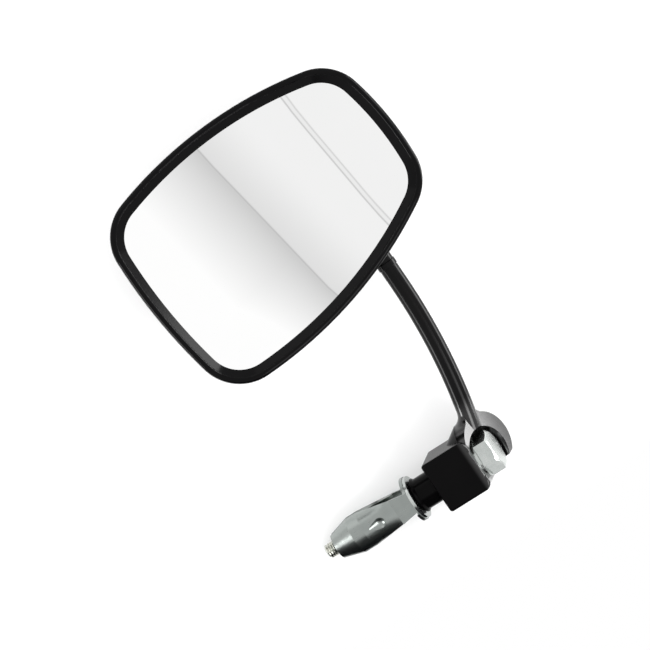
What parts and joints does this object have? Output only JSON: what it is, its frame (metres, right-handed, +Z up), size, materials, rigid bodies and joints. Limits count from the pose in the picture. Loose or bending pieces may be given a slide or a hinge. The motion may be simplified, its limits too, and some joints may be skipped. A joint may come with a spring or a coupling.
{
  "type": "motorcycle bar end mirror",
  "caption": "Rounded trapezoid rear-view mirror on a thin curved arm, clamped in the open end of a handlebar by a bolt-drawn sheet expander.",
  "frame": {"origin": "on the handlebar's axis, in the plane of the bar's end, where the expander's flange seats", "axes": "+X along the bar's axis and out of the bar, +Z up, the mirror faces the rider at -Y"},
  "size_m": [0.1184, 0.0595, 0.1781],
  "materials": {
    "arm": "gloss black paint on a zinc casting",
    "ball_stud": "ground steel",
    "bolt_washer": "bright zinc",
    "clamp_bolt": "bright zinc",
    "clamp_plate": "bright zinc",
    "clamp_screws": "bright zinc",
    "expander": "zinc plated sheet",
    "front_cup": "natural nylon",
    "glass_pad": "closed cell foam",
    "housing": "gloss black",
    "mirror_glass": "silvered convex glass",
    "rear_cup": "natural nylon",
    "rim_trim": "gloss black",
    "seat_washer": "bright zinc",
    "wedge_nut": "zinc plated steel"
  },
  "bodies": {
    "bar_clamp": {"expander": "expander", "seat_washer": "seat_washer"},
    "arm": {"arm": "arm", "ball_stud": "ball_stud", "bolt_washer": "bolt_washer"},
    "clamp_bolt": {"clamp_bolt": "clamp_bolt"},
    "wedge_nut": {"wedge_nut": "wedge_nut"},
    "rear_cup": {"rear_cup": "rear_cup"},
    "front_cup": {"front_cup": "front_cup"},
    "head": {"housing": "housing", "rim_trim": "rim_trim", "mirror_glass": "mirror_glass", "glass_pad": "glass_pad", "clamp_plate": "clamp_plate", "clamp_screws": "clamp_screws"}
  },
  "joints": [
    {"name": "arm_swivel", "type": "hinge", "parent": "bar_clamp", "child": "arm", "pos_m": [0, 0, 0], "axis": [1, 0, 0], "range_deg": [-180, 180]},
    {"name": "bolt_turn", "type": "hinge", "parent": "bar_clamp", "child": "clamp_bolt", "pos_m": [0, 0, 0], "axis": [1, 0, 0], "range_deg": [0, 1440]},
    {"name": "nut_draw", "type": "slide", "parent": "bar_clamp", "child": "wedge_nut", "axis": [1, 0, 0], "range_m": [0, 0.004]},
    {"name": "head_turn", "type": "hinge", "parent": "arm", "child": "rear_cup", "pos_m": [0.0437, 0.003, 0.104], "axis": [0, 0, 1], "range_deg": [-25, 25]},
    {"name": "head_tilt", "type": "hinge", "parent": "rear_cup", "child": "front_cup", "pos_m": [0.0437, 0.003, 0.104], "axis": [0.9511, 0.309, 0], "range_deg": [-10, 10]},
    {"name": "head_roll", "type": "hinge", "parent": "front_cup", "child": "head", "pos_m": [0.0437, 0.003, 0.104], "axis": [0.306, -0.9418, 0.1392], "range_deg": [-10, 10]}
  ],
  "couplings": [
    {"joint": "nut_draw", "follows": "bolt_turn", "m_per_rad": 0.00015915}
  ]
}
